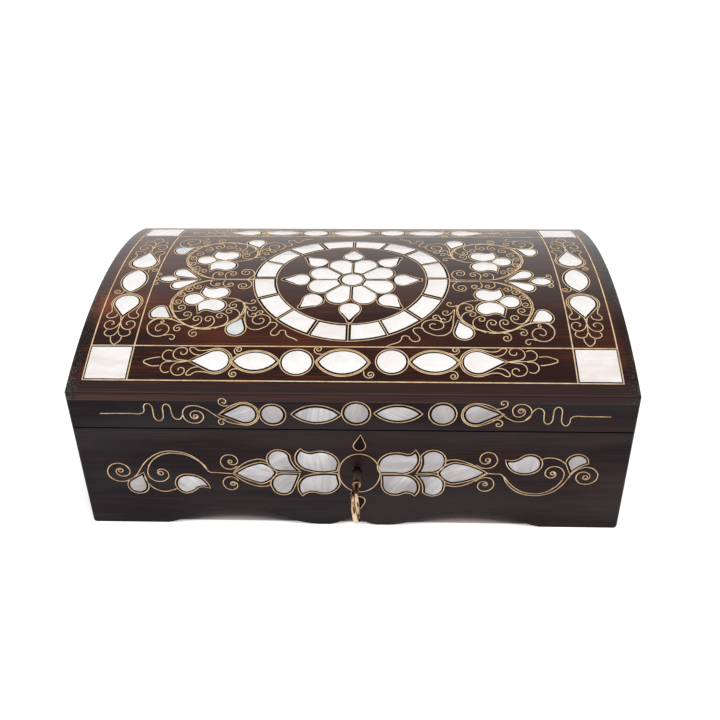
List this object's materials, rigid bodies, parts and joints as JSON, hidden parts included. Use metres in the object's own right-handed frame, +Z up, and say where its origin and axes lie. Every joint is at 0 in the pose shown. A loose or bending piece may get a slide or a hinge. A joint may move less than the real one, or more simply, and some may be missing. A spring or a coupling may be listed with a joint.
{
  "type": "inlaid wooden box",
  "caption": "Dark wooden box with a domed hinged lid, mother-of-pearl and brass wire inlay, scalloped feet, and a lock in the front worked by a ring-bow key.",
  "frame": {"origin": "middle of the whole part, key included, on the surface it stands on; the middle of the case itself is 15.7 mm behind it", "axes": "+X to the right seen from the front, +Y to the back where the hinges are, +Z up; the key stands out of the front towards -Y"},
  "size_m": [0.25, 0.1914, 0.0916],
  "materials": {
    "wood": "dark stained, satin polish",
    "pearl": "polished mother-of-pearl",
    "brass": "polished",
    "velvet": "cut velvet"
  },
  "bodies": {
    "box": {"base_panel": "wood", "front_panel": "wood", "back_panel": "wood", "left_end_panel": "wood", "right_end_panel": "wood", "velvet_floor": "velvet", "velvet_front": "velvet", "velvet_back": "velvet", "velvet_left": "velvet", "velvet_right": "velvet", "hinge_leaves_body": "brass", "hinge_pins": "brass", "lock_case": "brass", "lock_cover": "brass", "pearl_front": "pearl"},
    "lid": {"lid_front_rail": "wood", "lid_back_rail": "wood", "lid_left_end_rail": "wood", "lid_right_end_rail": "wood", "lid_sheet": "wood", "velvet_lid": "velvet", "hinge_leaves_lid": "brass", "lock_strike": "brass", "pearl_lid_border": "pearl", "pearl_lid_medallion": "pearl", "pearl_lid_scrolls": "pearl", "pearl_lid_edge": "pearl", "wire_lid_lines": "brass"},
    "lock_follower": {"lock_follower": "brass"},
    "key": {"key": "brass"},
    "lock_bolt": {"lock_bolt": "brass"}
  },
  "joints": [
    {"name": "lid_open", "type": "hinge", "parent": "box", "child": "lid", "pos_m": [0, 0.0917, 0.05745], "axis": [-1, 0, 0], "range_deg": [0, 100]},
    {"name": "key_turn", "type": "hinge", "parent": "box", "child": "lock_follower", "pos_m": [0.0025, -0.0593, 0.0338], "axis": [0, 1, 0], "range_deg": [0, 90]},
    {"name": "bolt_slide", "type": "slide", "parent": "box", "child": "lock_bolt", "axis": [1, 0, 0], "range_m": [0, 0.00636]},
    {"name": "key_withdraw", "type": "slide", "parent": "lock_follower", "child": "key", "axis": [0, -1, 0], "range_m": [0, 0.04]}
  ],
  "couplings": [
    {"joint": "key_turn", "follows": "bolt_slide", "rad_per_m": 246.9}
  ]
}
